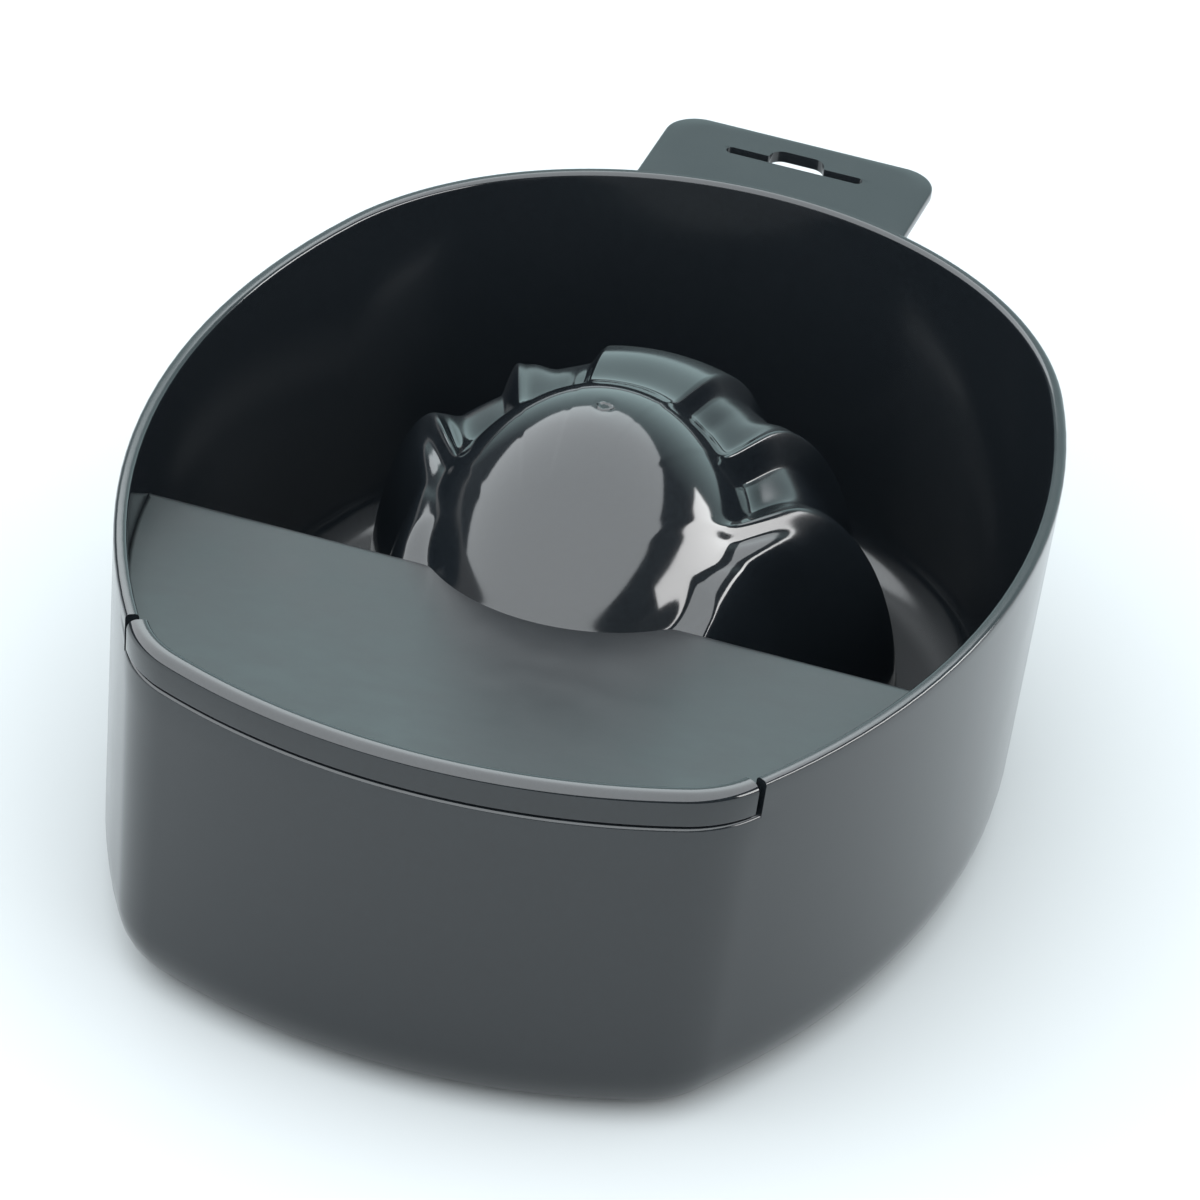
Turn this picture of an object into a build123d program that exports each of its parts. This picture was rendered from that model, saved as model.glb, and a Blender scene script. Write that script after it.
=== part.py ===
"""Two-piece manicure bowl: an outer bowl with a hang tab, and a lift-out hand rest.

Millimetres. +Y points at the hang tab, +X to the right of a user at the wrist shelf, +Z up.
The origin is the middle of the bowl's footprint, on the surface that it stands on.
"""
from build123d import *
from math import atan2, cos, degrees, hypot, radians, sin, sqrt, tan
import os

# ---- outer bowl -------------------------------------------------------------
bowl_width = 130.0  # across the rim
bowl_length = 174.8  # rim, front to back, without the tab
bowl_height = 57.1
bowl_wall = 2.0
bowl_floor = 2.2
wall_draft = 2.8  # degrees, the wall leans outwards as it rises
base_rounding = 10.0  # outside radius where the wall meets the floor

# The plan outline is a round back, gently bowed sides, tight front corners and a shallow front.
# Its three long radii are multiples of half the width.
back_roundness = 0.92
side_bow = 2.178
front_bow = 1.395
corner_radius = 18.0

# ---- hang tab ---------------------------------------------------------------
tab_width = 42.5
tab_reach = 16.0  # beyond the rim
tab_thickness = 1.8
tab_corner = 5.5
slot_width = 21.7
slot_height = 1.9
slot_from_edge = 7.6  # from the tab's outer edge to the middle of the slot's thin arms
hook_width = 8.6
hook_rise = 3.4  # how far the slot's middle rises above its arms

# ---- cut-out in the front wall, and the lip that fills it --------------------
lip_width = 92.4
lip_height = 5.4
lip_slit = 0.6  # gap at each end of the lip
cut_reach = 54.0  # front to back, twice as far as the cut-out goes into the bowl
seat_gap = 0.3  # vertical gap wherever the rest stands on the bowl

# ---- hand rest --------------------------------------------------------------
rest_wall = 2.0
fit_gap = 0.4  # all round, between the rest and the inside of the bowl
shelf_edge_y = -25.5  # the shelf's rear edge
shelf_edge_height = 44.5
shelf_sag = 1.6  # how far the shelf dips below a straight slope
shelf_rounding = 3.0
skirt_height = 20.0  # the side skirts stop this high, only the rear wall and the mound go lower

# ---- palm mound -------------------------------------------------------------
# A rounded hill that the fingers lie on. Ridges fan out over it from a point near the wrist.
wrist_y = -45.0  # the ridges' lines all start here, on the middle line
hill_centre = (0.0, -2.0, 4.0)
ridge_radii = (46.0, 57.0, 60.7)  # of the ellipsoid that holds the ridges' tops
groove_radii = (40.5, 51.5, 57.0)  # of the ellipsoid that holds the finger grooves
middle_ridge_angle = 7.4  # degrees from the middle line: the two middle ridges bound a plateau
ring_ridge_angle = 18.5
thumb_ridge_angle = 31.3
ridge_half_angle = 1.4
ridge_start = 30.0  # distance from the wrist point at which the ridges come out of the dome
dome_centre_y = -9.5
dome_width_radius = 24.0
dome_length_radius = 28.0
dome_spring = 44.0  # height of the dome's widest section
dome_top = 67.0


# ---- plan outline, from the sizes above --------------------------------------
half_width = bowl_width / 2
total_length = bowl_length + tab_reach
front_y = -total_length / 2
rim_back_y = front_y + bowl_length
back_radius = back_roundness * half_width
side_radius = side_bow * half_width
front_radius = front_bow * half_width
draft_per_mm = tan(radians(wall_draft))

back_centre = (0.0, rim_back_y - back_radius)
side_offset = side_radius - half_width
side_centre = (-side_offset, back_centre[1] - sqrt((side_radius - back_radius) ** 2 - side_offset**2))
front_centre = (0.0, front_y + front_radius)


def corner_circle_centre(radius):
    """Centre of the circle of this radius that touches the side arc and the front arc from inside."""
    to_side = side_radius - radius
    to_front = front_radius - radius
    dx = side_centre[0] - front_centre[0]
    dy = side_centre[1] - front_centre[1]
    between = hypot(dx, dy)
    along = (between**2 + to_front**2 - to_side**2) / (2 * between)
    across = sqrt(to_front**2 - along**2)
    x = front_centre[0] + (along * dx - across * dy) / between
    y = front_centre[1] + (along * dy + across * dx) / between
    return (x, y)


def angle_from(centre, point):
    return degrees(atan2(point[1] - centre[1], point[0] - centre[0]))


corner_centre = corner_circle_centre(corner_radius)
back_meets_side = angle_from(side_centre, back_centre)
side_meets_corner = angle_from(side_centre, corner_centre)
corner_meets_front = angle_from(front_centre, corner_centre)


def bowl_outline(inset, height):
    """The plan outline at a height, moved in by inset: its right half, mirrored to the left."""
    with BuildSketch(Plane.XY.offset(height)) as outline:
        with BuildLine():
            CenterArc(back_centre, back_radius - inset, back_meets_side, 90 - back_meets_side)
            CenterArc(side_centre, side_radius - inset, side_meets_corner, back_meets_side - side_meets_corner)
            CenterArc(
                corner_centre,
                corner_radius - inset,
                corner_meets_front,
                side_meets_corner - corner_meets_front,
            )
            CenterArc(front_centre, front_radius - inset, -90, corner_meets_front + 90)
            mirror(about=Plane.YZ)
        make_face()
    return outline.sketch


def wall_inset(height):
    """How far the bowl's outside has moved in at this height, measured from the rim's outline."""
    return (bowl_height - height) * draft_per_mm


# ---- inside of the bowl, as a solid to cut with -------------------------------
def cavity(gap, bottom, top):
    """The bowl's inside, smaller by gap all round, from height bottom to height top."""
    with BuildPart() as space:
        extrude(bowl_outline(wall_inset(bottom) + bowl_wall + gap, bottom), amount=top - bottom, taper=-wall_draft)
        fillet(space.edges().group_by(Axis.Z)[0], base_rounding - bowl_wall)
    return space.part


bowl_inside = cavity(0, bowl_floor, bowl_height)

# ---- outer bowl ---------------------------------------------------------------
tab_edge_y = rim_back_y + tab_reach
tab_root_y = rim_back_y - back_radius / 4  # inside the wall, where the tab's sketch starts
slot_y = tab_edge_y - slot_from_edge
lip_seat = bowl_height - lip_height

with BuildPart() as outer_bowl:
    extrude(bowl_outline(wall_inset(0), 0), amount=bowl_height, taper=-wall_draft)
    fillet(outer_bowl.edges().group_by(Axis.Z)[0], base_rounding)
    with BuildSketch(Plane.XY.offset(bowl_height - tab_thickness)) as tab_outline:
        with Locations((0, (tab_root_y + tab_edge_y) / 2)):
            Rectangle(tab_width, tab_edge_y - tab_root_y)
        fillet(tab_outline.vertices().group_by(Axis.Y)[-1], tab_corner)
    extrude(amount=tab_thickness)
    add(bowl_inside, mode=Mode.SUBTRACT)
    # sombrero slot
    with BuildSketch(Plane.XY.offset(bowl_height)) as slot:
        with Locations((0, slot_y)):
            SlotOverall(slot_width, slot_height)
        with Locations((0, slot_y + (hook_rise - slot_height / 2) / 2)):
            Rectangle(hook_width, hook_rise + slot_height / 2)
        fillet(slot.vertices().group_by(Axis.Y)[-1], hook_width / 4)
    extrude(amount=-tab_thickness, mode=Mode.SUBTRACT)
    # cut-out for the hand rest's lip
    with BuildSketch(Plane.XY.offset(lip_seat)):
        with Locations((0, front_y)):
            Rectangle(lip_width + 2 * lip_slit, cut_reach)
    extrude(amount=2 * lip_height, mode=Mode.SUBTRACT)

# ---- hand rest ------------------------------------------------------------------
rest_bottom = bowl_floor + seat_gap
lip_bottom = lip_seat + seat_gap
lip_reach = 2 * corner_radius  # how far back the lip follows the bowl's front corners
dome_height_radius = dome_top - dome_spring
mound_front_y = shelf_edge_y - 2 * shelf_rounding  # the mound's foot, hidden inside the shelf


def side_prism(points, arc_middle):
    """A slab as wide as the bowl whose side view is an arc through arc_middle and straight lines."""
    with BuildPart() as slab:
        with BuildSketch(Plane.YZ.offset(-half_width)):
            with BuildLine():
                ThreePointArc(points[-1], arc_middle, points[0])
                Polyline(*points)
            make_face()
        extrude(amount=bowl_width)
    return slab.part


def shelf_slab(drop, rear_y, bottom):
    """Everything under the wrist shelf's gently hollow top, lowered by drop, as far back as rear_y."""
    front = (front_y, bowl_height - drop)
    rear = (rear_y, shelf_edge_height - drop)
    middle = ((front[0] + rear[0]) / 2, (front[1] + rear[1]) / 2 - shelf_sag)
    return side_prism([rear, (rear_y, bottom), (front_y, bottom), front], middle)


def ellipsoid(centre, radii):
    with BuildPart() as unit:
        Sphere(1)
        scale(by=tuple(radii))
    with BuildPart() as placed:
        with Locations(centre):
            add(unit.part)
    return placed.part


def ridge_wedge(middle, half_angle):
    """A tall wedge along a line from the wrist point, at an angle from the middle line."""
    near = ridge_start
    far = 2 * bowl_length
    turns = (radians(90 - middle - half_angle), radians(90 - middle + half_angle))
    corners = [(near * cos(turn), wrist_y + near * sin(turn)) for turn in turns]
    corners += [(far * cos(turn), wrist_y + far * sin(turn)) for turn in reversed(turns)]
    with BuildPart() as wedge:
        with BuildSketch():
            with BuildLine():
                Polyline(*corners, close=True)
            make_face()
        extrude(amount=dome_top)
    return wedge.part


def mound(inset, bottom):
    """The hill with its grooves, its ridges and the palm dome on it, moved in by inset."""
    hill_radii = [radius - inset for radius in groove_radii]
    crest_radii = [radius - inset for radius in ridge_radii]
    dome_radii = [radius - inset for radius in (dome_width_radius, dome_length_radius, dome_height_radius)]
    plateau = middle_ridge_angle - inset  # the inset leaves a wall of about that thickness
    with BuildPart() as crest:
        add(ridge_wedge(0, plateau))
        if inset == 0:
            for side in (-1, 1):
                add(ridge_wedge(side * ring_ridge_angle, ridge_half_angle))
                add(ridge_wedge(side * thumb_ridge_angle, ridge_half_angle))
        add(ellipsoid(hill_centre, crest_radii), mode=Mode.INTERSECT)
    with BuildPart() as hill:
        add(ellipsoid(hill_centre, hill_radii))
        add(crest.part)
        with Locations((0, mound_front_y, bottom)):
            Box(
                bowl_width,
                2 * bowl_length,
                2 * bowl_height,
                align=(Align.CENTER, Align.MIN, Align.MIN),
                mode=Mode.INTERSECT,
            )
        add(ellipsoid((0, dome_centre_y, dome_spring), dome_radii))
    return hill.part


def rest_block(inset, bottom):
    """The hand rest as a solid block, moved in by inset all round: the shelf with the mound behind it."""
    rear_y = shelf_edge_y - inset
    with BuildPart() as block:
        add(cavity(fit_gap + inset, bottom, bowl_height))
        add(shelf_slab(inset, rear_y, bottom), mode=Mode.INTERSECT)
        shelf_edge = block.edges().filter_by(Axis.X).group_by(Axis.Y)[-1].sort_by(Axis.Z)[-1]
        fillet(shelf_edge, shelf_rounding - inset if inset < shelf_rounding else shelf_rounding)
        add(mound(inset, bottom))
    return block.part


with BuildPart() as lip:
    extrude(
        bowl_outline(wall_inset(lip_bottom), lip_bottom),
        amount=bowl_height - lip_bottom,
        taper=-wall_draft,
    )
    add(cavity(fit_gap + rest_wall, lip_bottom - base_rounding, bowl_height), mode=Mode.SUBTRACT)
    with Locations((0, front_y, bowl_height)):
        Box(lip_width, lip_reach, 2 * bowl_height, mode=Mode.INTERSECT)

with BuildPart() as hand_rest:
    add(rest_block(0, rest_bottom))
    add(rest_block(rest_wall, rest_bottom - 2 * seat_gap), mode=Mode.SUBTRACT)
    with Locations((0, shelf_edge_y - rest_wall, 0)):
        Box(
            bowl_width,
            bowl_length,
            skirt_height,
            align=(Align.CENTER, Align.MAX, Align.MIN),
            mode=Mode.SUBTRACT,
        )
    add(lip.part)

# ---- the two mouldings, as files ---------------------------------------------------
os.makedirs("parts", exist_ok=True)
outer_bowl.part.label = "outer_bowl"
export_step(outer_bowl.part, "parts/outer_bowl.step")
hand_rest.part.label = "hand_rest"
export_step(hand_rest.part, "parts/hand_rest.step")
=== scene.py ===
"""Looks for the manicure bowl: a deep black polystyrene bowl with a lift-out hand rest.

Every piece is a closed surface worked out with numpy from the sizes below, in metres, in the CAD frame:
+Y points at the hang tab, +X to the right of a user at the wrist shelf, +Z up.
"""
import math

import bmesh
import bpy
import numpy as np
from mathutils import Matrix, Vector


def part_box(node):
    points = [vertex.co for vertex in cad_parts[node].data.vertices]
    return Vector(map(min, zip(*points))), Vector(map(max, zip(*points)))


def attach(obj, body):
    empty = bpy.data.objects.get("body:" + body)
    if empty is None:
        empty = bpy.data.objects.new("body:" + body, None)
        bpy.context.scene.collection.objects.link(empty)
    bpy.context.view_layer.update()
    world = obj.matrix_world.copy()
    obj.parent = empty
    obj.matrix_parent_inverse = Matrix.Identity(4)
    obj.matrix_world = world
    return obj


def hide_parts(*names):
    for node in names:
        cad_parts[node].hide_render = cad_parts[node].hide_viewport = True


bl_info = {
    "name": "Manicure bowl",
    "version": (1, 0, 0),
    "blender": (4, 5, 0),
    "location": "3D View > Sidebar > Manicure bowl",
    "description": "Builds the surfaces, the plastic and the studio of a manicure bowl",
    "category": "Object",
}

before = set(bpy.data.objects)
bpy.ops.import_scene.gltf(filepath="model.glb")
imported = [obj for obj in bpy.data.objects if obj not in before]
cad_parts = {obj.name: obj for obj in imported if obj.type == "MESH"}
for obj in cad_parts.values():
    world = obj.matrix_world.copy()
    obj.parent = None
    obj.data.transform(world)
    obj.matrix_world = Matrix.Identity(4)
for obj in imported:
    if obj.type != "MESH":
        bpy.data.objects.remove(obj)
bowl_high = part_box("outer_bowl")[1]
rest_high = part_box("hand_rest")[1]
MM = 0.001
DOME_Y = -9.5 * MM  # middle of the mound's dome, on the middle line
DOME_TOP = rest_high.z - 0.3 * MM  # leaves room for the gate mark below the CAD's top


# ---- sizes and colours --------------------------------------------------------------------


class BowlSizes(bpy.types.PropertyGroup):
    width: bpy.props.FloatProperty(
        name="Width", description="Across the rim", default=0.130, unit="LENGTH")
    height: bpy.props.FloatProperty(
        name="Height", description="From the table to the rim", default=bowl_high.z, unit="LENGTH")
    wall: bpy.props.FloatProperty(
        name="Wall", description="Thickness of the wall", default=2.0 * MM, unit="LENGTH")
    floor: bpy.props.FloatProperty(
        name="Floor", description="Thickness of the floor", default=2.2 * MM, unit="LENGTH")
    draft: bpy.props.FloatProperty(
        name="Draft", description="How far the wall leans out", default=math.radians(2.8), unit="ROTATION")
    base_rounding: bpy.props.FloatProperty(
        name="Base rounding", description="Outside radius between wall and floor",
        default=10 * MM, unit="LENGTH")
    rim_rounding: bpy.props.FloatProperty(
        name="Rim rounding", description="Radius along the rim's two edges", default=0.7 * MM, unit="LENGTH")
    corner_radius: bpy.props.FloatProperty(
        name="Corner radius", description="Front corners, seen from above", default=18 * MM, unit="LENGTH")
    cut_half_width: bpy.props.FloatProperty(
        name="Cut-out half width", description="Half of the gap in the front wall",
        default=46.8 * MM, unit="LENGTH")
    cut_depth: bpy.props.FloatProperty(
        name="Cut-out depth", description="How far the gap reaches below the rim",
        default=5.4 * MM, unit="LENGTH")


class TabSizes(bpy.types.PropertyGroup):
    width: bpy.props.FloatProperty(
        name="Tab width", description="Across the hang tab", default=42.5 * MM, unit="LENGTH")
    reach: bpy.props.FloatProperty(
        name="Tab reach", description="How far the tab stands out from the rim",
        default=16 * MM, unit="LENGTH")
    thickness: bpy.props.FloatProperty(
        name="Tab thickness", description="Thickness of the tab", default=1.8 * MM, unit="LENGTH")
    corner: bpy.props.FloatProperty(
        name="Tab corner", description="Radius of the tab's outer corners", default=5.5 * MM, unit="LENGTH")
    edge: bpy.props.FloatProperty(
        name="Tab edge", description="Rounding of the tab's edges", default=0.4 * MM, unit="LENGTH")
    slot_width: bpy.props.FloatProperty(
        name="Slot width", description="Hang slot over both arms", default=21.7 * MM, unit="LENGTH")
    slot_height: bpy.props.FloatProperty(
        name="Slot height", description="Height of the slot's arms", default=1.9 * MM, unit="LENGTH")
    slot_from_edge: bpy.props.FloatProperty(
        name="Slot from edge", description="Outer edge to the arms' middle", default=7.6 * MM, unit="LENGTH")
    hook_width: bpy.props.FloatProperty(
        name="Hook width", description="Width of the slot's middle", default=8.6 * MM, unit="LENGTH")
    hook_rise: bpy.props.FloatProperty(
        name="Hook rise", description="Height of the slot's middle above its arms",
        default=3.4 * MM, unit="LENGTH")


class RestSizes(bpy.types.PropertyGroup):
    wall: bpy.props.FloatProperty(
        name="Rest wall", description="Thickness of the hand rest", default=2.0 * MM, unit="LENGTH")
    gap: bpy.props.FloatProperty(
        name="Fit gap", description="Between the rest and the bowl", default=0.4 * MM, unit="LENGTH")
    seat_gap: bpy.props.FloatProperty(
        name="Seat gap", description="Under the rest's lip and wall", default=0.3 * MM, unit="LENGTH")
    edge_y: bpy.props.FloatProperty(
        name="Shelf rear edge", description="Place of the shelf's rear edge",
        default=-25.5 * MM, unit="LENGTH")
    edge_height: bpy.props.FloatProperty(
        name="Shelf rear height", description="Height of the rear edge", default=44.5 * MM, unit="LENGTH")
    sag: bpy.props.FloatProperty(
        name="Shelf sag", description="How far the shelf dips in its middle", default=1.6 * MM, unit="LENGTH")
    rear_rounding: bpy.props.FloatProperty(
        name="Rear rounding", description="Radius of the shelf's rear edge", default=3.0 * MM, unit="LENGTH")
    side_rounding: bpy.props.FloatProperty(
        name="Side rounding", description="Radius of the shelf's edges at the wall",
        default=0.8 * MM, unit="LENGTH")
    skirt_height: bpy.props.FloatProperty(
        name="Skirt height", description="Height of the side skirts' lower edge",
        default=20 * MM, unit="LENGTH")
    lip_thickness: bpy.props.FloatProperty(
        name="Lip thickness", description="Front lip, front to back", default=3.2 * MM, unit="LENGTH")
    lip_rounding: bpy.props.FloatProperty(
        name="Lip rounding", description="Front lip's outer top radius", default=1.5 * MM, unit="LENGTH")
    ridge_softness: bpy.props.FloatProperty(
        name="Ridge softness", description="Width of the blend between dome and hill",
        default=1.6 * MM, unit="LENGTH")
    gate_radius: bpy.props.FloatProperty(
        name="Gate radius", description="Broken-off moulding gate on the dome",
        default=1.3 * MM, unit="LENGTH")


class PlasticLook(bpy.types.PropertyGroup):
    bowl_colour: bpy.props.StringProperty(
        name="Bowl colour", description="sRGB hex of the bowl's black", default="101316")
    rest_colour: bpy.props.StringProperty(
        name="Rest colour", description="sRGB hex of the hand rest's black", default="0d1013")
    bowl_roughness: bpy.props.FloatProperty(
        name="Bowl roughness", description="Roughness of the bowl's skin", default=0.13, min=0, max=1)
    shelf_roughness: bpy.props.FloatProperty(
        name="Shelf roughness", description="Roughness of the satin wrist shelf", default=0.36, min=0, max=1)
    rest_roughness: bpy.props.FloatProperty(
        name="Rest roughness", description="Roughness of the rest's skin", default=0.08, min=0, max=1)


class StudioSetup(bpy.types.PropertyGroup):
    azimuth: bpy.props.FloatProperty(
        name="Azimuth", description="Camera, round the bowl", default=math.radians(14.41), unit="ROTATION")
    elevation: bpy.props.FloatProperty(
        name="Elevation", description="Camera, above the table", default=math.radians(31.86), unit="ROTATION")
    roll: bpy.props.FloatProperty(
        name="Roll", description="Camera tilt to one side", default=math.radians(6.78), unit="ROTATION")
    distance: bpy.props.FloatProperty(
        name="Distance", description="Camera to bowl", default=1.3453, unit="LENGTH")
    lens: bpy.props.FloatProperty(
        name="Lens", description="Focal length in millimetres", default=275.4)
    shift_x: bpy.props.FloatProperty(
        name="Shift X", description="Camera shift to the side", default=0.00467, precision=5)
    shift_y: bpy.props.FloatProperty(
        name="Shift Y", description="Camera shift upwards", default=-0.00375, precision=5)
    floor_colour: bpy.props.StringProperty(
        name="Floor colour", description="sRGB hex of the table", default="a6a9aa")


PROPERTY_GROUPS = (BowlSizes, TabSizes, RestSizes, PlasticLook, StudioSetup)


# ---- plan outline of the bowl ---------------------------------------------------------------


def outline_arcs(bowl):
    """The right half of the rim, from the tab round to the front: four arcs that meet smoothly.

    Each is (centre x, centre y, radius, first normal angle, last normal angle), in metres and radians.
    The radii are multiples of half the width, and each centre follows from touching the next arc.
    """
    half = bowl.width / 2
    back_radius, side_radius, front_radius = 0.92 * half, 2.178 * half, 1.395 * half
    rim_back = bowl_high.y - bpy.context.scene.tab_sizes.reach
    back_y = rim_back - back_radius
    side_x = half - side_radius
    side_y = back_y - math.sqrt((side_radius - back_radius) ** 2 - side_x**2)
    front_y = -bowl_high.y + front_radius
    to_side = side_radius - bowl.corner_radius
    to_front = front_radius - bowl.corner_radius
    dx, dy = side_x, side_y - front_y
    between = math.hypot(dx, dy)
    along = (between**2 + to_front**2 - to_side**2) / (2 * between)
    across = math.sqrt(to_front**2 - along**2)
    corner_x = (along * dx - across * dy) / between
    corner_y = front_y + (along * dy + across * dx) / between
    side_start = math.atan2(back_y - side_y, -side_x)
    side_end = math.atan2(corner_y - side_y, corner_x - side_x)
    corner_end = math.atan2(corner_y - front_y, corner_x)
    return (
        (0.0, back_y, back_radius, math.pi / 2, side_start),
        (side_x, side_y, side_radius, side_start, side_end),
        (corner_x, corner_y, bowl.corner_radius, side_end, corner_end),
        (0.0, front_y, front_radius, corner_end, -math.pi / 2),
    )


def arc_columns(arc, count, first=None, last=None):
    """Columns (centre x, centre y, radius, normal angle) at even angles along one arc."""
    angles = np.linspace(arc[3] if first is None else first, arc[4] if last is None else last, count)
    return np.stack([np.full(count, arc[0]), np.full(count, arc[1]), np.full(count, arc[2]), angles])


def mirrored(columns):
    """The same columns on the left-hand side, in reverse order, so that they carry the loop on."""
    flipped = columns[:, ::-1].copy()
    flipped[0] *= -1
    flipped[3] = math.pi - flipped[3]
    return flipped


def outline_point(columns, inset):
    """Plan point of each column on the curve parallel to the rim: centre + (radius - inset) * normal."""
    reach = columns[2] - inset
    return columns[0] + reach * np.cos(columns[3]), columns[1] + reach * np.sin(columns[3])


def wall_inset(bowl, z):
    """How far the outside of the wall has moved in at height z, because of its draft."""
    return (bowl.height - z) * math.tan(bowl.draft)


# ---- grids to meshes --------------------------------------------------------------------------


def grid_faces(rows, columns, wrap_rows=False, wrap_columns=False):
    """Quads of a grid of points counted row by row; a wrapped side joins the last line to the first."""
    r = np.arange(rows if wrap_rows else rows - 1)
    c = np.arange(columns if wrap_columns else columns - 1)
    r, c = (a.ravel() for a in np.meshgrid(r, c, indexing="ij"))
    r2, c2 = (r + 1) % rows, (c + 1) % columns
    return np.stack([r * columns + c, r * columns + c2, r2 * columns + c2, r2 * columns + c], axis=1)


def bar_faces(rows, columns):
    """Faces of a bar whose sections are the grid's columns: a closed tube and a cap at each end."""
    caps = [np.arange(rows) * columns, (np.arange(rows) * columns + columns - 1)[::-1]]
    return [list(f) for f in grid_faces(rows, columns, wrap_rows=True)] + [list(c) for c in caps]


def closed_piece(name, points, faces, body, node, material, sharp=38.0):
    """A mesh object from points (n, 3) and faces, welded at its seams and poles, facing outwards."""
    mesh = bpy.data.meshes.new(name)
    mesh.from_pydata(points.reshape(-1, 3).tolist(), [], [list(map(int, f)) for f in faces])
    work = bmesh.new()
    work.from_mesh(mesh)
    bmesh.ops.remove_doubles(work, verts=work.verts, dist=0.002 * MM)
    bmesh.ops.dissolve_degenerate(work, edges=work.edges, dist=0.001 * MM)
    bmesh.ops.recalc_face_normals(work, faces=work.faces)
    open_edges = sum(1 for e in work.edges if len(e.link_faces) != 2)
    work.to_mesh(mesh)
    work.free()
    if open_edges:
        raise RuntimeError(f"{name} has {open_edges} edges that don't join two faces")
    mesh.shade_smooth()
    mesh.set_sharp_from_angle(angle=math.radians(sharp))
    mesh.materials.append(material)
    piece = bpy.data.objects.new(name, mesh)
    bpy.context.scene.collection.objects.link(piece)
    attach(piece, body)
    if node:
        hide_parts(node)


def quarter(count, start=0.0, end=90.0):
    """Angles in radians over an arc."""
    return np.radians(np.linspace(start, end, count))


# ---- bowl -----------------------------------------------------------------------------------------


def shell_profile(bowl, top):
    """The wall's section as (inset, height) rows, from the foot's rounding up, over the top and down inside.

    Both roundings at the floor are arcs tangent to the floor and to the leaning wall.
    Rows between the cut-out's level and the top collapse to one point where the wall is cut down.
    """
    lean = math.tan(bowl.draft)
    stretch = math.hypot(1, lean)
    seat = bowl.height - bowl.cut_depth - bowl.rim_rounding
    shoulder = top - bowl.rim_rounding
    turn = quarter(9, 0, 90 - math.degrees(bowl.draft))

    def foot(level, radius, offset):
        middle = level + radius
        inset = (bowl.height - middle) * lean + offset + radius * stretch
        return inset - radius * np.sin(turn), middle - radius * np.cos(turn)

    def straight(offset, low, high, count):
        z = np.linspace(low, high, count)
        return (bowl.height - z) * lean + offset, z

    outer_foot = foot(0.0, bowl.base_rounding, 0.0)
    inner_foot = foot(bowl.floor, bowl.base_rounding - bowl.wall, bowl.wall)
    bend = quarter(7)
    round_z = shoulder + bowl.rim_rounding * np.sin(bend)
    drop = bowl.rim_rounding * (1 - np.cos(bend))
    parts = [
        outer_foot,
        straight(0.0, outer_foot[1][-1] + 2 * MM, seat, 9),
        straight(0.0, seat, shoulder, 5),
        ((bowl.height - shoulder) * lean + drop, round_z),
        ((bowl.height - shoulder) * lean + bowl.wall - drop[::-1], round_z[::-1]),
        tuple(a[::-1] for a in straight(bowl.wall, seat, shoulder, 5)),
        tuple(a[::-1] for a in straight(bowl.wall, inner_foot[1][-1] + 2 * MM, seat, 9)),
        tuple(a[::-1] for a in inner_foot),
    ]
    return np.concatenate([p[0] for p in parts]), np.concatenate([p[1] for p in parts])


class MANICURE_OT_bowl(bpy.types.Operator):
    """Carries the wall's section round the rim's outline and closes it with a flat floor"""

    bl_idname = "manicure.bowl"
    bl_label = "Bowl"

    def execute(self, context):
        bowl = context.scene.bowl_sizes
        back, side, corner, front = outline_arcs(bowl)
        cut = -math.acos((bowl.cut_half_width - side[0]) / side[2])
        tall = np.concatenate([arc_columns(back, 34), arc_columns(side, 26, last=cut)[:, 1:]], axis=1)
        low = np.concatenate([
            arc_columns(side, 3, first=cut),
            arc_columns(corner, 18)[:, 1:],
            arc_columns(front, 22)[:, 1:],
        ], axis=1)
        half = np.concatenate([tall, low], axis=1)
        columns = np.concatenate([half, mirrored(half)[:, 1:-1]], axis=1)
        is_tall = np.zeros(half.shape[1], bool)
        is_tall[: tall.shape[1]] = True
        is_tall = np.concatenate([is_tall, is_tall[::-1][1:-1]])
        high_profile = shell_profile(bowl, bowl.height)
        low_profile = shell_profile(bowl, bowl.height - bowl.cut_depth)
        inset = np.where(is_tall, high_profile[0][:, None], low_profile[0][:, None])
        z = np.where(is_tall, high_profile[1][:, None], low_profile[1][:, None])
        x, y = outline_point(columns, inset)
        # flat rings that shrink to the middle close the underside and the inside floor
        middle_y = side[1]
        shrink = np.array([0.0, 0.2, 0.5, 0.8])[:, None]
        rings = []
        for line in (0, -1):
            ring_y = middle_y + shrink * (y[line] - middle_y)
            rings.append(np.stack([shrink * x[line], ring_y, 0 * shrink * x[0] + z[line]], -1))
        under, inside = rings
        points = np.concatenate([under, np.stack([x, y, z], -1), inside[::-1]])
        faces = grid_faces(points.shape[0], points.shape[1], wrap_columns=True)
        material = black_polystyrene(context, "Moulded black polystyrene, bowl", "bowl")
        closed_piece("bowl_shell", points, faces, "bowl", "outer_bowl", material)
        return {"FINISHED"}


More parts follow.
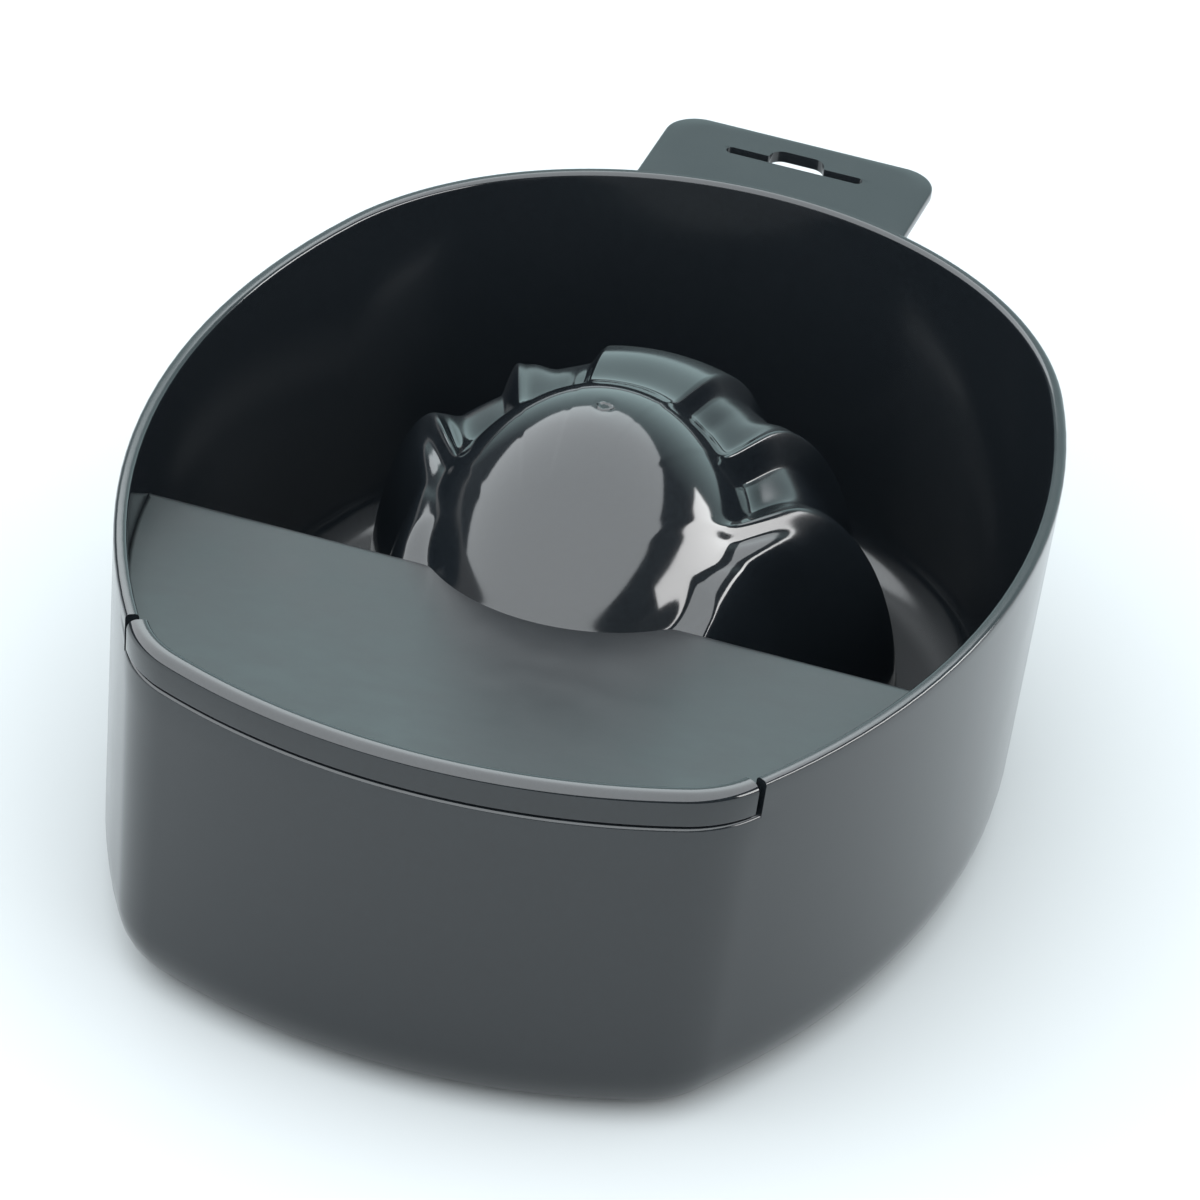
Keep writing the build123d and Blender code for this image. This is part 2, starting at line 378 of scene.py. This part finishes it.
def rounded_polygon(corners, radii, count):
    """A closed outline with each corner turned into an arc, then spaced evenly along its length."""
    corners = np.array(corners, float)
    before = np.roll(corners, 1, 0) - corners
    after = np.roll(corners, -1, 0) - corners
    before /= np.linalg.norm(before, axis=1)[:, None]
    after /= np.linalg.norm(after, axis=1)[:, None]
    radii = np.array(radii, float)[:, None]
    half_angle = np.arccos(np.clip((before * after).sum(1), -1, 1))[:, None] / 2
    tangent = radii / np.tan(half_angle)
    to_centre = (before + after) / np.maximum(np.linalg.norm(before + after, axis=1), 1e-9)[:, None]
    centres = corners + to_centre * radii / np.sin(half_angle)
    start = corners + before * tangent - centres
    end = corners + after * tangent - centres
    t = np.linspace(0, 1, 13)[None, :, None]
    sweep = np.pi - 2 * half_angle[:, None]
    safe = np.maximum(np.sin(sweep), 1e-9)
    arcs = (np.sin((1 - t) * sweep) * start[:, None] + np.sin(t * sweep) * end[:, None]) / safe
    path = (centres[:, None] + arcs).reshape(-1, 2)
    path = np.concatenate([path, path[:1]])
    length = np.concatenate([[0], np.cumsum(np.linalg.norm(np.diff(path, axis=0), axis=1))])
    at = np.linspace(0, length[-1], count, endpoint=False)
    return np.stack([np.interp(at, length, path[:, i]) for i in (0, 1)], 1)


class MANICURE_OT_tab(bpy.types.Operator):
    """Bridges the hang slot's outline to the tab's outline, and rolls the plate's edges over"""

    bl_idname = "manicure.tab"
    bl_label = "Hang tab"

    def execute(self, context):
        bowl = context.scene.bowl_sizes
        tab = context.scene.tab_sizes
        back = outline_arcs(bowl)[0]
        count = 360
        edge_y = bowl_high.y
        slot_y = edge_y - tab.slot_from_edge
        half, arm = tab.slot_width / 2, tab.slot_height / 2
        hook, rise = tab.hook_width / 2, tab.hook_rise
        tiny = 0.35 * MM
        slot = rounded_polygon(
            [(0, slot_y - arm), (half, slot_y - arm), (half, slot_y + arm), (hook, slot_y + arm),
             (hook, slot_y + rise), (-hook, slot_y + rise), (-hook, slot_y + arm),
             (-half, slot_y + arm), (-half, slot_y - arm)],
            [0, arm * 0.98, arm * 0.98, tiny, hook / 2, hook / 2, tiny, arm * 0.98, arm * 0.98],
            count,
        )
        # the plate's root follows the rim, just inside its rounding
        root = back[2] - bowl.rim_rounding
        reach = math.asin(tab.width / 2 / root)
        side_y = back[1] + root * math.cos(reach)
        plate = rounded_polygon(
            [(0, side_y), (tab.width / 2, side_y), (tab.width / 2, edge_y), (-tab.width / 2, edge_y),
             (-tab.width / 2, side_y)],
            [0, tiny, tab.corner, tab.corner, tiny],
            count,
        )
        # both outlines start at the middle of the root side and run the same way round
        on_root = plate[:, 1] < side_y + 0.05 * MM
        bulge = np.sqrt(np.maximum(root**2 - plate[:, 0] ** 2, 0)) + back[1]
        plate[:, 1] = np.where(on_root, bulge, plate[:, 1])
        top, bottom, edge = bowl.height, bowl.height - tab.thickness, tab.edge
        outward = np.roll(plate, -1, 0) - np.roll(plate, 1, 0)
        outward = np.stack([outward[:, 1], -outward[:, 0]], 1)
        outward /= np.linalg.norm(outward, axis=1)[:, None]
        outward[on_root] = 0
        rows = []

        def row(t, pull, z):
            flat = slot + (plate - slot) * t - outward * pull
            rows.append(np.concatenate([flat, np.full((count, 1), z)], 1))

        bend = quarter(5)
        for t in (0.0, 0.25, 0.5, 0.75):
            row(t, 0, top)
        for a in bend:
            row(1, edge * (1 - math.sin(a)), top - edge * (1 - math.cos(a)))
        for a in bend[::-1]:
            row(1, edge * (1 - math.sin(a)), bottom + edge * (1 - math.cos(a)))
        for t in (0.75, 0.5, 0.25, 0.0):
            row(t, 0, bottom)
        points = np.stack(rows)
        faces = grid_faces(points.shape[0], count, wrap_rows=True, wrap_columns=True)
        material = black_polystyrene(context, "Moulded black polystyrene, tab", "bowl")
        closed_piece("hang_tab", points, faces, "bowl", "outer_bowl", material)
        return {"FINISHED"}


# ---- hand rest ---------------------------------------------------------------------------------------


def shelf_height(rest, bowl, y):
    """The wrist shelf's top: a straight slope from the rim to the rear edge, minus a shallow parabola."""
    front = -bowl_high.y
    t = (y - front) / (rest.edge_y - front)
    return bowl.height + (rest.edge_height - bowl.height) * t - 4 * rest.sag * t * (1 - t)


class MANICURE_OT_shelf(bpy.types.Operator):
    """The wrist shelf: rings grow from its middle, roll over its edge and drop as skirts and a rear wall"""

    bl_idname = "manicure.shelf"
    bl_label = "Wrist shelf"

    def execute(self, context):
        bowl, rest = context.scene.bowl_sizes, context.scene.rest_sizes
        side, corner, front = outline_arcs(bowl)[1:]
        inner = bowl.wall + rest.gap
        first = math.asin((rest.edge_y - side[1]) / (side[2] - inner))
        wall = np.concatenate([
            arc_columns(side, 16, first=first),
            arc_columns(corner, 18)[:, 1:],
            arc_columns(front, 22)[:, 1:],
        ], axis=1)
        wall = np.concatenate([wall, mirrored(wall)[:, 1:]], axis=1)
        rear_count = 49
        across = np.linspace(-1, 1, rear_count)
        middle_y = -55 * MM  # the rings grow from this point of the shelf

        def loop(inset, rear_inset, rear_side_inset=None):
            """Plan points of the whole edge, moved in from the wall by inset and from the rear edge."""
            x, y = outline_point(wall, inset)
            y = np.minimum(y, rest.edge_y - rear_inset)
            end_x = outline_point(wall[:, :1], inset if rear_side_inset is None else rear_side_inset)[0]
            rear_y = np.full(rear_count, rest.edge_y - rear_inset)
            return np.concatenate([x, across * end_x]), np.concatenate([y, rear_y])

        def inside_inset(z):
            """Inset of the bowl's inside plus the fit gap at height z: draft, then the floor's rounding."""
            radius = bowl.base_rounding - bowl.wall
            below = max(bowl.floor + radius - z, 0)
            return inner + wall_inset(bowl, z) + radius - math.sqrt(radius**2 - min(below, radius) ** 2)

        is_rear = np.arange(wall.shape[1] + rear_count) >= wall.shape[1]
        rows = []

        def row(x, y, z):
            rows.append(np.stack([x, y, z], 1))

        def over(t, drop, inset, rear_inset):
            x, y = loop(inset, rear_inset)
            y = middle_y + (y - middle_y) * t
            row(x * t, y, shelf_height(rest, bowl, y) - drop)

        rounding = np.where(is_rear, rest.rear_rounding, rest.side_rounding)
        for t in np.linspace(0, 0.96, 22):
            over(t, 0, inner + rest.side_rounding, rest.rear_rounding)
        for a in quarter(9):
            side_pull = rest.side_rounding * (1 - math.sin(a))
            rear_pull = rest.rear_rounding * (1 - math.sin(a))
            over(1, rounding * (1 - math.cos(a)), inner + side_pull, rear_pull)
        bottom = np.where(is_rear, bowl.floor + rest.seat_gap, rest.skirt_height)
        top_x, top_y = loop(inner, 0)
        ledge = shelf_height(rest, bowl, top_y) - rounding
        rear_levels = np.array([30, 18, 10.2, 7, 5, 3.5, bottom.min() / MM]) * MM
        side_levels = np.linspace(0.15, 1, len(rear_levels))
        skirt = list(zip(rear_levels, side_levels))
        for high, share in skirt:
            x, y = loop(inner + wall_inset(bowl, rest.skirt_height) * share, 0, inside_inset(high))
            row(x, y, np.where(is_rear, high, ledge + (bottom - ledge) * share))
        for high, share in skirt[::-1]:
            x, y = loop(inner + rest.wall + wall_inset(bowl, rest.skirt_height) * share, rest.wall,
                        inside_inset(high) + rest.wall)
            row(x, y, np.where(is_rear, high, ledge + (bottom - ledge) * share))
        x, y = loop(inner + rest.side_rounding + rest.wall, rest.rear_rounding + rest.wall)
        row(x, y, shelf_height(rest, bowl, y) - rest.wall - rounding)
        for t in np.linspace(0.96, 0, 8):
            over(t, rest.wall, inner + rest.side_rounding + rest.wall, rest.rear_rounding + rest.wall)
        points = np.stack(rows)
        faces = grid_faces(points.shape[0], points.shape[1], wrap_columns=True)
        material = black_polystyrene(context, "Moulded black polystyrene, shelf", "shelf")
        closed_piece("wrist_shelf", points, faces, "rest", "hand_rest", material)
        return {"FINISHED"}


def eased(at, stops):
    """Value at each angle, easing from one listed (angle, value) stop to the next."""
    stop_at, stop_to = np.array(stops).T
    i = np.clip(np.searchsorted(stop_at, at, side="right") - 1, 0, len(stop_at) - 2)
    t = (at - stop_at[i]) / (stop_at[i + 1] - stop_at[i])
    t = t * t * (3 - 2 * t)
    return stop_to[i] + (stop_to[i + 1] - stop_to[i]) * t


# Share of a groove's depth, terrace height in mm and share of the steeper flank, each listed by its
# angle in degrees from the middle line, seen from the wrist. The middle plateau ends at 7, ridges
# stand at 18 and 31, and the thumb's terrace sinks to the shelf's rear edge at 59.
GROOVE_SHARE = [(0, 0), (7.2, 0), (9.6, 0.6), (13, 0.6), (17, 0.15), (18.4, 0), (20.2, 0.75),
                (25, 0.7), (31.3, 0), (34, 0.35), (42, 0.25), (50, 0), (90, 0)]
TERRACE_HEIGHT = [(0, 61), (7.2, 61.2), (9.2, 57.2), (12, 55.6), (16.5, 55.0), (18.4, 55.8),
                  (20.2, 50.4), (25, 49.4), (29, 50.8), (31.3, 52.8), (33.5, 50.6), (38, 49.6),
                  (48, 47.2), (59, 44.6), (90, 44)]
STEEP_FLANK = [(0, 0), (32.0, 0), (38, 1), (90, 1)]


def reach_to_ellipsoid(origin, direction, centre, radii):
    """Distance from a point along a direction to an ellipsoid's far side, or to its nearest pass."""
    o, d = (origin - centre) / radii, direction / radii
    a, b, c = (d * d).sum(-1), (o * d).sum(-1), (o * o).sum(-1) - 1
    return (-b + np.sqrt(np.maximum(b * b - a * c, 0))) / a


class MANICURE_OT_mound(bpy.types.Operator):
    """The palm mound: upright sections fan out from the wrist, over a dome and a grooved hill"""

    bl_idname = "manicure.mound"
    bl_label = "Palm mound"

    def execute(self, context):
        bowl, rest = context.scene.bowl_sizes, context.scene.rest_sizes
        wrist = np.array([0.0, -45.0, 0.0]) * MM
        hill_centre = np.array([0.0, -2.0, 4.0]) * MM
        ridge_radii = np.array([46.0, 57.0, 60.7]) * MM
        groove_radii = np.array([40.5, 51.5, 57.0]) * MM
        thumb_radii = np.array([32.0, 57.0, 75.0]) * MM  # steeper flanks beside the thumb's terrace
        dome_centre = np.array([0.0, DOME_Y, 24.0 * MM])
        dome_radii = np.array([27.6 * MM, 31.4 * MM, DOME_TOP - dome_centre[2]])
        terrace_softness = 2.2 * MM  # width of the blend between the terraces and the hill's side
        hidden_height = 43.5 * MM  # the mound sinks to this level under the shelf
        foot = bowl.floor + rest.seat_gap
        risers = ((7.1, 9.3), (18.2, 20.3), (30.6, 33.2))  # steps in TERRACE_HEIGHT, cut more finely
        edges = np.concatenate([np.arange(a, b, 0.11) for a, b in risers])
        lean = np.unique(np.round(np.concatenate([np.arange(0, 62.1, 0.62), edges]), 3))
        lean = np.concatenate([-lean[:0:-1], lean])  # degrees from the middle line, one per section
        ray = np.stack([np.sin(np.radians(lean)), np.cos(np.radians(lean)), 0 * lean], 1)
        along = (dome_centre[1] - wrist[1]) * ray[:, 1]
        hub = wrist + ray * along[:, None] + np.array([0, 0, 22 * MM])

        def section(lifts, cut, thinner):
            """Points of each section at angles lifts (row, column) above its outward direction."""
            direction = ray * np.cos(lifts)[..., None] + np.array([0, 0, 1.0]) * np.sin(lifts)[..., None]
            crest = reach_to_ellipsoid(hub, direction, hill_centre, ridge_radii)
            beyond = hub + direction * crest[..., None] - wrist
            t = np.clip((np.hypot(beyond[..., 0], beyond[..., 1]) - 38 * MM) / (16 * MM), 0, 1)
            depth = cut * t * t * (3 - 2 * t)
            radii = ridge_radii + (groove_radii - ridge_radii) * depth[..., None]
            radii = radii + (thumb_radii - radii) * thumb_side[:, None] - thinner
            hill = reach_to_ellipsoid(hub, direction, hill_centre, radii)
            rise = np.maximum(direction[..., 2], 0.02)
            level = (terrace - hub[:, 2]) / rise
            y = (hub + direction * level[..., None])[..., 1]
            t = np.clip((rest.edge_y + 4 * MM - y) / (8 * MM), 0, 1)
            level = level - (terrace - hidden_height) * t * t * (3 - 2 * t) / rise - thinner
            hill = (hill + level - np.sqrt((hill - level) ** 2 + terrace_softness**2)) / 2
            dome = reach_to_ellipsoid(hub, direction, dome_centre, dome_radii - thinner)
            far = (hill + dome + np.sqrt((hill - dome) ** 2 + rest.ridge_softness**2)) / 2
            points = hub + direction * far[..., None]
            points[..., 2] = np.clip(points[..., 2], foot, dome_centre[2] + dome_radii[2])
            return points

        reach = reach_to_ellipsoid(
            hub * [1, 1, 0] + hill_centre * [0, 0, 1], ray, hill_centre, ridge_radii)
        lowest = -np.arctan2(hub[:, 2] - foot, reach)
        # each section starts under the shelf, just behind the wrist point
        top_lift = math.pi - np.arctan2(hidden_height - hub[:, 2], along - 4 * MM)
        terrace = eased(np.abs(lean), TERRACE_HEIGHT) * MM
        thumb_side = eased(np.abs(lean), STEEP_FLANK)
        t = np.linspace(0, 1, 150)[:, None]
        outer = section(lowest + (top_lift - lowest) * t, eased(np.abs(lean), GROOVE_SHARE), 0.0)
        t = np.linspace(1, 0, 26)[:, None]
        inner = section(lowest + (top_lift - lowest) * t, np.ones_like(lean), rest.wall)
        points = np.concatenate([outer, inner])
        faces = bar_faces(points.shape[0], points.shape[1])
        material = black_polystyrene(context, "Moulded black polystyrene, mound", "mound")
        closed_piece("palm_mound", points, faces, "rest", "hand_rest", material, sharp=60)
        return {"FINISHED"}


class MANICURE_OT_lip(bpy.types.Operator):
    """The front lip: a rounded bar carried along the front of the outline, filling the wall's cut-out"""

    bl_idname = "manicure.lip"
    bl_label = "Front lip"

    def execute(self, context):
        bowl, rest = context.scene.bowl_sizes, context.scene.rest_sizes
        corner, front = outline_arcs(bowl)[2:]
        half = np.concatenate([arc_columns(corner, 22), arc_columns(front, 30)[:, 1:]], axis=1)
        columns = np.concatenate([half, mirrored(half)[:, 1:]], axis=1)
        low = bowl.height - bowl.cut_depth + rest.seat_gap
        top = bowl.height - 0.1 * MM
        outer, inner, edge = rest.lip_rounding, 0.8 * MM, 0.25 * MM
        bend = quarter(7)
        inset = np.concatenate([
            edge * (1 - np.sin(bend)), outer * (1 - np.cos(bend)),
            rest.lip_thickness - inner * (1 - np.sin(bend)), [rest.lip_thickness],
        ])
        z = np.concatenate([
            low + edge * (1 - np.cos(bend)), top - outer * (1 - np.sin(bend)),
            top - inner * (1 - np.cos(bend)), [low],
        ])
        inset = inset + wall_inset(bowl, z) * (inset < outer)
        x, y = outline_point(columns, inset[:, None])
        points = np.stack([x, y, np.broadcast_to(z[:, None], x.shape)], -1)
        faces = bar_faces(points.shape[0], points.shape[1])
        material = black_polystyrene(context, "Moulded black polystyrene, lip", "rest")
        closed_piece("front_lip", points, faces, "rest", "hand_rest", material)
        return {"FINISHED"}


class MANICURE_OT_gate(bpy.types.Operator):
    """The broken-off moulding gate on the dome's top: a ring-shaped bump with a dimple"""

    bl_idname = "manicure.gate"
    bl_label = "Gate mark"

    def execute(self, context):
        rest = context.scene.rest_sizes
        share = np.array([0, 0.3, 0.55, 0.7, 0.85, 1.0, 1.1, 0.0])[:, None]
        lift = np.array([-0.12, -0.1, 0.1, 0.24, 0.22, 0.0, -0.5, -0.5])[:, None] * MM
        count = 40
        turn = np.linspace(0, 2 * np.pi, count, endpoint=False)[None]
        ragged = 1 + 0.12 * np.sin(3 * turn + 0.6) + 0.06 * np.sin(7 * turn)
        x = rest.gate_radius * share * ragged * np.cos(turn)
        y = DOME_Y + rest.gate_radius * share * ragged * np.sin(turn)
        z = DOME_TOP + lift * (0.8 + 0.2 * np.minimum(share, 1) * np.sin(2 * turn))
        points = np.stack([x, y, z + 0 * x], -1)
        faces = grid_faces(points.shape[0], count, wrap_columns=True)
        material = black_polystyrene(context, "Moulded black polystyrene, gate", "rest")
        closed_piece("gate_mark", points, faces, "rest", None, material)
        return {"FINISHED"}


# ---- plastic -------------------------------------------------------------------------------------------


def linear(hex_colour):
    """sRGB hex to linear red, green, blue and alpha 1."""
    value = [int(hex_colour[i:i + 2], 16) / 255 for i in (0, 2, 4)]
    return [v / 12.92 if v <= 0.04045 else ((v + 0.055) / 1.055) ** 2.4 for v in value] + [1.0]


def add_node(tree, kind, settings=None, links=None, **inputs):
    """Adds a node, sets its properties and input values, and links inputs from other nodes' outputs."""
    node = tree.nodes.new(kind)
    for name, value in (settings or {}).items():
        setattr(node, name, value)
    for name, value in inputs.items():
        node.inputs[name.replace("_", " ")].default_value = value
    for name, source in (links or {}).items():
        tree.links.new(source, node.inputs[name])
    return node


def black_polystyrene(context, name, part):
    """Injection-moulded general-purpose polystyrene, dyed black: a hard, mirror-like skin, IOR 1.59.

    The skin follows the mould's polish, so reflections are clear but slightly wavy over some 18 mm,
    a faint haze comes and goes over some 9 mm, and wiping has left fine marks about 0.6 mm apart.
    """
    if name in bpy.data.materials:
        return bpy.data.materials[name]
    look = context.scene.plastic_look
    colour = look.bowl_colour if part == "bowl" else look.rest_colour
    roughness = {"bowl": look.bowl_roughness, "shelf": look.shelf_roughness}.get(part, look.rest_roughness)
    material = bpy.data.materials.new(name)
    material.use_nodes = True
    tree = material.node_tree
    tree.nodes.clear()
    place = add_node(tree, "ShaderNodeTexCoord").outputs["Object"]
    haze = add_node(tree, "ShaderNodeTexNoise", None, {"Vector": place},
                    Scale=1 / (9 * MM), Detail=2.0, Roughness=0.55)
    wiping = add_node(tree, "ShaderNodeTexNoise", None, {"Vector": place},
                      Scale=1 / (0.6 * MM), Detail=3.0, Roughness=0.6)
    wave = add_node(tree, "ShaderNodeTexNoise", None, {"Vector": place},
                    Scale=1 / (18 * MM), Detail=1.0, Roughness=0.4)
    rough = add_node(tree, "ShaderNodeMapRange", None, {"Value": haze.outputs["Fac"]},
                     From_Min=0.3, From_Max=0.7, To_Min=roughness * 0.9, To_Max=roughness * 1.12)
    rough = rough.outputs["Result"]
    if part == "mound":
        # only the dome and the flanks are polished: the terraces' tops have the shelf's satin grain
        offset = add_node(tree, "ShaderNodeVectorMath", {"operation": "MULTIPLY_ADD"}, {"Vector": place})
        offset.inputs[1].default_value = (1.0, 1.0, 0.0)
        offset.inputs[2].default_value = (0.0, -DOME_Y, 0.0)
        away = add_node(tree, "ShaderNodeVectorMath", {"operation": "LENGTH"},
                        {"Vector": offset.outputs["Vector"]})
        beside = add_node(tree, "ShaderNodeMapRange", None, {"Value": away.outputs["Value"]},
                          From_Min=25 * MM, From_Max=31 * MM, To_Min=0.0, To_Max=1.0)
        height = add_node(tree, "ShaderNodeSeparateXYZ", None, {"Vector": place})
        above = add_node(tree, "ShaderNodeMapRange", None, {"Value": height.outputs["Z"]},
                         From_Min=44 * MM, From_Max=49 * MM, To_Min=0.0, To_Max=1.0)
        both = add_node(tree, "ShaderNodeMath", {"operation": "MULTIPLY"})
        tree.links.new(beside.outputs["Result"], both.inputs[0])
        tree.links.new(above.outputs["Result"], both.inputs[1])
        satin = add_node(tree, "ShaderNodeMapRange", None,
                         {"Value": both.outputs["Value"], "To Min": rough}, To_Max=0.27)
        rough = satin.outputs["Result"]
    tint = add_node(tree, "ShaderNodeMapRange", None, {"Value": wiping.outputs["Fac"]},
                    From_Min=0.35, From_Max=0.75, To_Min=0.0, To_Max=0.08)
    base = add_node(tree, "ShaderNodeMix", {"data_type": "RGBA"}, {"Factor": tint.outputs["Result"]})
    base.inputs["A"].default_value = linear(colour)
    base.inputs["B"].default_value = linear("3a4247")
    wavy = add_node(tree, "ShaderNodeBump", None, {"Height": wave.outputs["Fac"]},
                    Strength=1.0, Distance=0.012 * MM)
    marks = add_node(tree, "ShaderNodeBump", None,
                     {"Height": wiping.outputs["Fac"], "Normal": wavy.outputs["Normal"]},
                     Strength=0.35, Distance=0.004 * MM)
    skin = add_node(tree, "ShaderNodeBsdfPrincipled", None,
                    {"Base Color": base.outputs["Result"], "Roughness": rough,
                     "Normal": marks.outputs["Normal"]}, IOR=1.59)
    add_node(tree, "ShaderNodeOutputMaterial", None, {"Surface": skin.outputs["BSDF"]})
    return material


# ---- studio ---------------------------------------------------------------------------------------------


def soft_box(name, shape, direction, spread, radiance, colour, distance):
    """A light panel of one radiance, facing the bowl from a direction, spread over some degrees."""
    azimuth, elevation = (math.radians(a) for a in direction)
    away = Vector((math.sin(azimuth) * math.cos(elevation),
                   -math.cos(azimuth) * math.cos(elevation), math.sin(elevation)))
    size = [2 * distance * math.tan(math.radians(s / 2)) for s in spread]
    light = bpy.data.lights.new(name, "AREA")
    light.shape = shape
    light.size, light.size_y = size
    share = math.pi / 4 if shape == "ELLIPSE" else 1.0
    light.energy = radiance * math.pi * size[0] * size[1] * share
    light.color = linear(colour)[:3]
    lamp = bpy.data.objects.new(name, light)
    bpy.context.scene.collection.objects.link(lamp)
    lamp.visible_camera = False
    target = Vector((0, -10 * MM, 50 * MM))
    lamp.location = target + away * distance
    lamp.rotation_mode = "QUATERNION"
    lamp.rotation_quaternion = (-away).to_track_quat("-Z", "Y")


class MANICURE_OT_stage(bpy.types.Operator):
    """White table, soft surroundings, two light panels and the camera"""

    bl_idname = "manicure.stage"
    bl_label = "Studio"

    def execute(self, context):
        scene, studio = context.scene, context.scene.studio_setup
        half = 4.0  # of the table's side, so that its edges stay out of sight
        corners = [(-half, -half, 0), (half, -half, 0), (half, half, 0), (-half, half, 0)]
        mesh = bpy.data.meshes.new("table")
        mesh.from_pydata(corners, [], [(0, 1, 2, 3)])
        table = bpy.data.objects.new("table", mesh)
        scene.collection.objects.link(table)
        paint = bpy.data.materials.new("Matt white board, sprayed")
        paint.use_nodes = True
        board = paint.node_tree.nodes["Principled BSDF"]
        board.inputs["Base Color"].default_value = linear(studio.floor_colour)
        board.inputs["Roughness"].default_value = 0.9
        board.inputs["Specular IOR Level"].default_value = 0.0
        mesh.materials.append(paint)
        # surroundings: bright behind the bowl, dim behind the camera
        world = bpy.data.worlds.new("Studio surroundings")
        scene.world = world
        world.use_nodes = True
        tree = world.node_tree
        tree.nodes.clear()
        place = add_node(tree, "ShaderNodeTexCoord").outputs["Generated"]
        split = add_node(tree, "ShaderNodeSeparateXYZ", None, {"Vector": place})
        fade = add_node(tree, "ShaderNodeMapRange", None, {"Value": split.outputs["Y"]},
                        From_Min=0.55, From_Max=0.97, To_Min=0.0, To_Max=1.0)
        ramp = add_node(tree, "ShaderNodeValToRGB", None, {"Fac": fade.outputs["Result"]})
        ramp.color_ramp.elements[0].color = linear("55595b")
        ramp.color_ramp.elements[1].color = linear("d6f2f4")
        glow = add_node(tree, "ShaderNodeBackground", None, {"Color": ramp.outputs["Color"]},
                        Strength=1.5)
        add_node(tree, "ShaderNodeOutputWorld", None, {"Surface": glow.outputs["Background"]})
        soft_box("key_tent", "ELLIPSE", (-41, 72), (136, 136), 3.6, "f6fbfe", 0.55)
        soft_box("window_panel", "RECTANGLE", (106, 13), (58, 15), 9.0, "ffffff", 1.5)
        scene.view_settings.view_transform = "Standard"
        camera_data = bpy.data.cameras.new("camera")
        camera_data.lens = studio.lens
        camera_data.sensor_width = 36
        camera_data.shift_x = studio.shift_x
        camera_data.shift_y = studio.shift_y
        camera_data.clip_start, camera_data.clip_end = 0.05, 20
        camera = bpy.data.objects.new("camera", camera_data)
        scene.collection.objects.link(camera)
        scene.camera = camera
        a, e, roll = studio.azimuth, studio.elevation, studio.roll
        back = Vector((math.sin(a) * math.cos(e), -math.cos(a) * math.cos(e), math.sin(e)))
        right = Vector((math.cos(a), math.sin(a), 0))
        up = back.cross(right)
        tilted_right = right * math.cos(roll) + up * math.sin(roll)
        tilted_up = up * math.cos(roll) - right * math.sin(roll)
        target = Vector((-1.54, 3.38, 26.86)) * MM
        turn = Matrix((tilted_right, tilted_up, back)).transposed()
        camera.matrix_world = Matrix.Translation(target + back * studio.distance) @ turn.to_4x4()
        return {"FINISHED"}


OPERATORS = (
    MANICURE_OT_bowl, MANICURE_OT_tab, MANICURE_OT_shelf, MANICURE_OT_mound,
    MANICURE_OT_lip, MANICURE_OT_gate, MANICURE_OT_stage,
)


class MANICURE_PT_panel(bpy.types.Panel):
    bl_idname = "MANICURE_PT_panel"
    bl_label = "Manicure bowl"
    bl_space_type = "VIEW_3D"
    bl_region_type = "UI"
    bl_category = "Manicure bowl"

    def draw(self, context):
        for operator in OPERATORS:
            self.layout.operator(operator.bl_idname)


GROUP_NAMES = ("bowl_sizes", "tab_sizes", "rest_sizes", "plastic_look", "studio_setup")


def register():
    for group, name in zip(PROPERTY_GROUPS, GROUP_NAMES):
        bpy.utils.register_class(group)
        setattr(bpy.types.Scene, name, bpy.props.PointerProperty(type=group))
    for operator in OPERATORS:
        bpy.utils.register_class(operator)
    bpy.utils.register_class(MANICURE_PT_panel)


def unregister():
    bpy.utils.unregister_class(MANICURE_PT_panel)
    for operator in reversed(OPERATORS):
        bpy.utils.unregister_class(operator)
    for group, name in zip(PROPERTY_GROUPS, GROUP_NAMES):
        delattr(bpy.types.Scene, name)
        bpy.utils.unregister_class(group)


def main():
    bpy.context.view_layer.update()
    register()
    bpy.ops.manicure.bowl()
    bpy.ops.manicure.tab()
    bpy.ops.manicure.shelf()
    bpy.ops.manicure.mound()
    bpy.ops.manicure.lip()
    bpy.ops.manicure.gate()
    bpy.ops.manicure.stage()
    bpy.context.view_layer.update()


if __name__ == "__main__":
    main()
